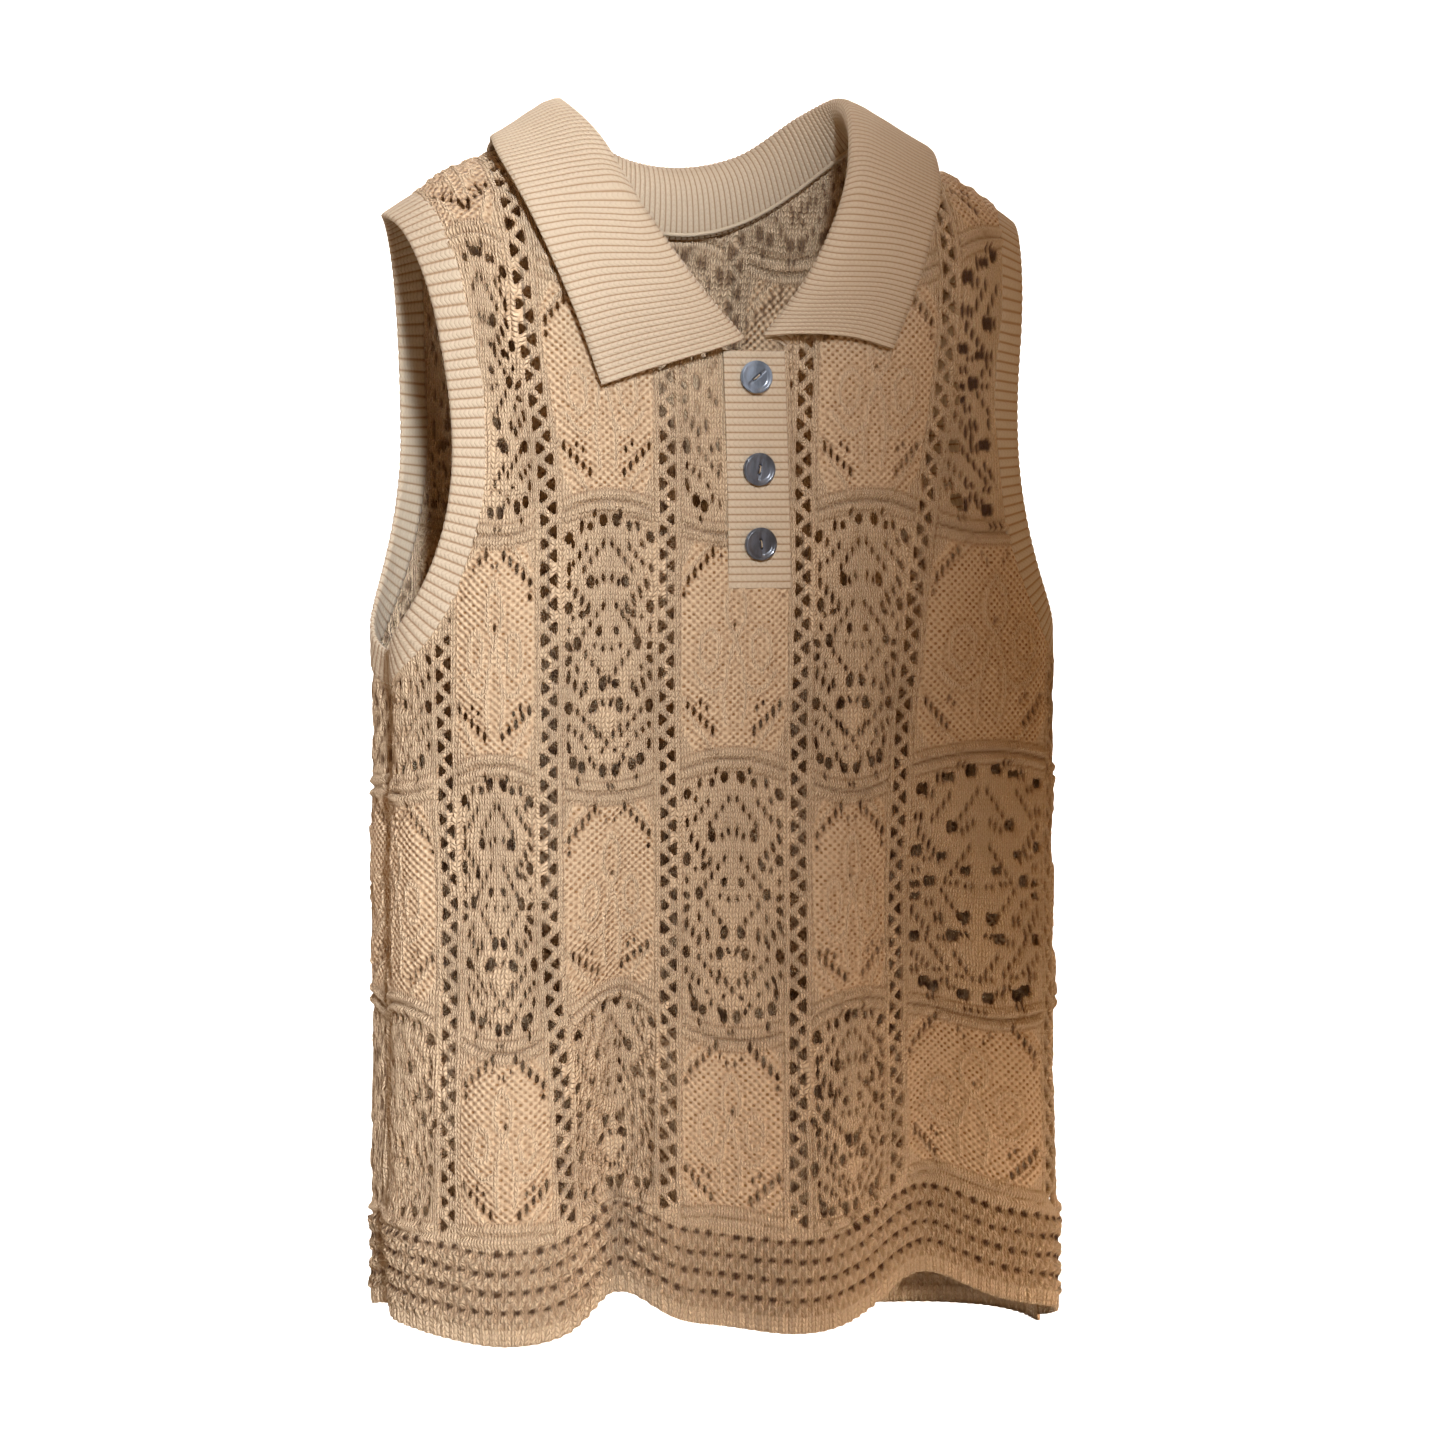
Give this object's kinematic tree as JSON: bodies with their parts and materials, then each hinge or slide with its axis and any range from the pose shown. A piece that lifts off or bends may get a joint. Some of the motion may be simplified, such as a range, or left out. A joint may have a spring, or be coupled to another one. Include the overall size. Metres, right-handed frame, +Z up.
{
  "type": "sweater vest",
  "caption": "Sleeveless lace-knit polo vest, hollow as worn, with open checkerboard blocks, ribbed collar, armhole bands, a short button placket and a wavy hem.",
  "frame": {"origin": "midway between the wearer's two shoulders, level with the middle of the shoulder seams, where the vest is carried", "axes": "+Z up, the front faces -Y, +X to the right as seen from the front"},
  "size_m": [0.3271, 0.1689, 0.5859],
  "materials": {
    "lace_knit": "fine matt beige knit",
    "rib_knit": "fine matt beige ribbing",
    "horn_button": "dark smoky blue-grey gloss"
  },
  "bodies": {
    "root": {"front_panel": "lace_knit", "back_panel": "lace_knit", "armhole_band_right": "rib_knit", "armhole_band_left": "rib_knit", "collar": "rib_knit", "placket_upper": "rib_knit", "placket_under": "rib_knit", "button_1": "horn_button", "button_2": "horn_button", "button_3": "horn_button"}
  },
  "joints": []
}
